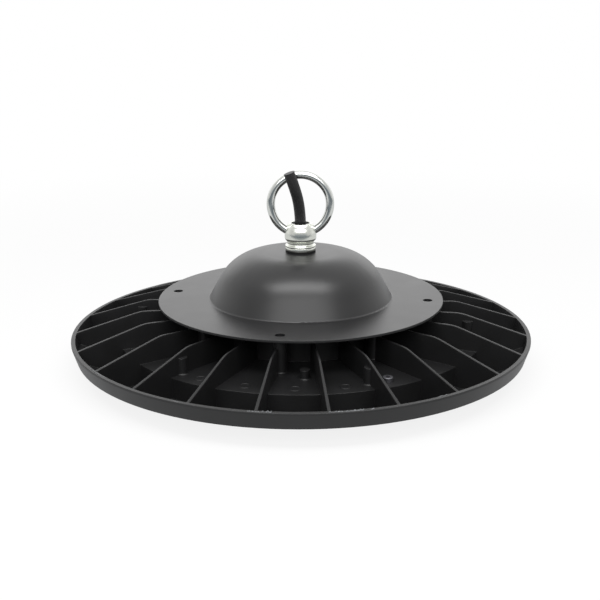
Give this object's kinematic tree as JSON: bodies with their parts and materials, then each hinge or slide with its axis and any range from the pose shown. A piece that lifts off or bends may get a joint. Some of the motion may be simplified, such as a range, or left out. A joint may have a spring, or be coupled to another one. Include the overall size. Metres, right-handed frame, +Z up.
{
  "type": "high bay light",
  "caption": "Round high bay light: finned die-cast heat sink, domed driver cover on a wide flange, plated hanging ring on a ball, short bare-ended mains cable, lens plate below.",
  "frame": {"origin": "on the light's axis, at the centre of the clamp ring's flat underside", "axes": "+Z up along the light's axis, towards the hanging ring; the ring lies in the XZ plane; the pictured side is -Y"},
  "size_m": [0.3, 0.3, 0.127],
  "materials": {
    "cast_black": "fine-grained black powder coat on die-cast aluminium",
    "cover_black": "smooth satin black powder coat on spun sheet",
    "chrome": "bright chrome plate",
    "nickel": "bright nickel plate",
    "zinc_steel": "zinc plated steel",
    "rubber_black": "moulded black rubber",
    "cable_black": "matte black rubber jacket",
    "silicone_grey": "grey silicone",
    "bare_aluminium": "as-cast aluminium",
    "potting_grey": "grey potting compound",
    "plastic_white": "white moulded plastic",
    "core_brown": "brown core insulation",
    "core_blue": "blue core insulation",
    "core_green_yellow": "green and yellow core insulation",
    "board_white": "white solder mask on an aluminium board",
    "phosphor": "yellow phosphor in a white package",
    "lens_clear": "clear moulded polycarbonate"
  },
  "bodies": {
    "root": {"heat_sink": "cast_black", "driver_cover": "cover_black", "eye_body": "chrome", "hanging_ring": "chrome", "eye_gasket": "rubber_black", "eye_washer": "zinc_steel", "eye_lock_nut": "zinc_steel", "cable_grommet": "rubber_black", "mains_cable": "cable_black", "cover_gasket": "rubber_black", "cover_nuts": "zinc_steel", "cover_screws": "zinc_steel", "pressure_vent": "nickel", "driver_case": "bare_aluminium", "driver_potting": "potting_grey", "driver_lid": "plastic_white", "driver_screws": "zinc_steel", "terminal_block": "plastic_white", "live_core": "core_brown", "neutral_core": "core_blue", "earth_core": "core_green_yellow", "earth_lug": "nickel", "earth_screw": "zinc_steel", "dc_lead": "cable_black", "dc_grommet": "silicone_grey", "thermal_pad": "silicone_grey", "led_board": "board_white", "leds": "phosphor", "board_screws": "zinc_steel", "led_connector": "plastic_white", "lens_gasket": "silicone_grey", "lens_plate": "lens_clear", "clamp_ring": "cover_black", "clamp_screws": "zinc_steel"}
  },
  "joints": []
}
